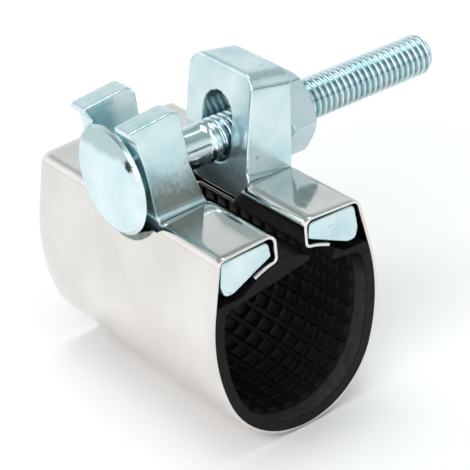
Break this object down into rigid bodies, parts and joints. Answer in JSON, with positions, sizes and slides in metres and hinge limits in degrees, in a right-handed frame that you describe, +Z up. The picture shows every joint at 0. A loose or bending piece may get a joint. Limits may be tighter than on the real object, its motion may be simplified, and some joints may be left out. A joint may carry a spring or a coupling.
{
  "type": "pipe repair clamp",
  "caption": "Split pipe repair clamp: gasket-lined stainless band with folded ends round cast lugs, closed by a bolt hooked in a forked lug.",
  "frame": {"origin": "on the axis of the round pipe seat in the gasket, at mid length of the clamp", "axes": "+Y along the pipe axis, +X along the bolt towards the nut, +Z up from the pipe to the lugs"},
  "size_m": [0.087, 0.0668, 0.0722],
  "materials": {
    "band": "bright stainless sheet",
    "gasket": "matt black rubber with a square waffle pattern inside",
    "lugs": "zinc plated casting, fine grain",
    "fastener": "clear zinc plate"
  },
  "bodies": {
    "fixed_half": {"band_fixed": "band", "gasket_fixed": "gasket", "slotted_lug": "lugs"},
    "moving_half": {"band_moving": "band", "gasket_moving": "gasket"},
    "fork": {"fork_lug": "lugs"},
    "bolt": {"elevator_bolt": "fastener"},
    "nut": {"hex_nut": "fastener"}
  },
  "joints": [
    {"name": "nut_spin", "type": "hinge", "parent": "fixed_half", "child": "nut", "pos_m": [0.02345, 0, 0.03515], "axis": [-1, 0, 0], "range_deg": [-310, 920]},
    {"name": "bolt_draw", "type": "slide", "parent": "fixed_half", "child": "bolt", "axis": [1, 0, 0], "range_m": [-0.0016, 0.0047]},
    {"name": "band_close", "type": "hinge", "parent": "fixed_half", "child": "moving_half", "pos_m": [0, 0, -0.0204], "axis": [0, 1, 0], "range_deg": [-2.3, 6.6]},
    {"name": "fork_rock", "type": "hinge", "parent": "moving_half", "child": "fork", "pos_m": [-0.01, 0, 0.022], "axis": [0, 1, 0], "range_deg": [-6.6, 2.3]}
  ],
  "couplings": [
    {"joint": "bolt_draw", "follows": "nut_spin", "m_per_rad": 0.00025266},
    {"joint": "band_close", "follows": "nut_spin", "ratio": 0.0063964},
    {"joint": "fork_rock", "follows": "nut_spin", "ratio": -0.0063964}
  ]
}
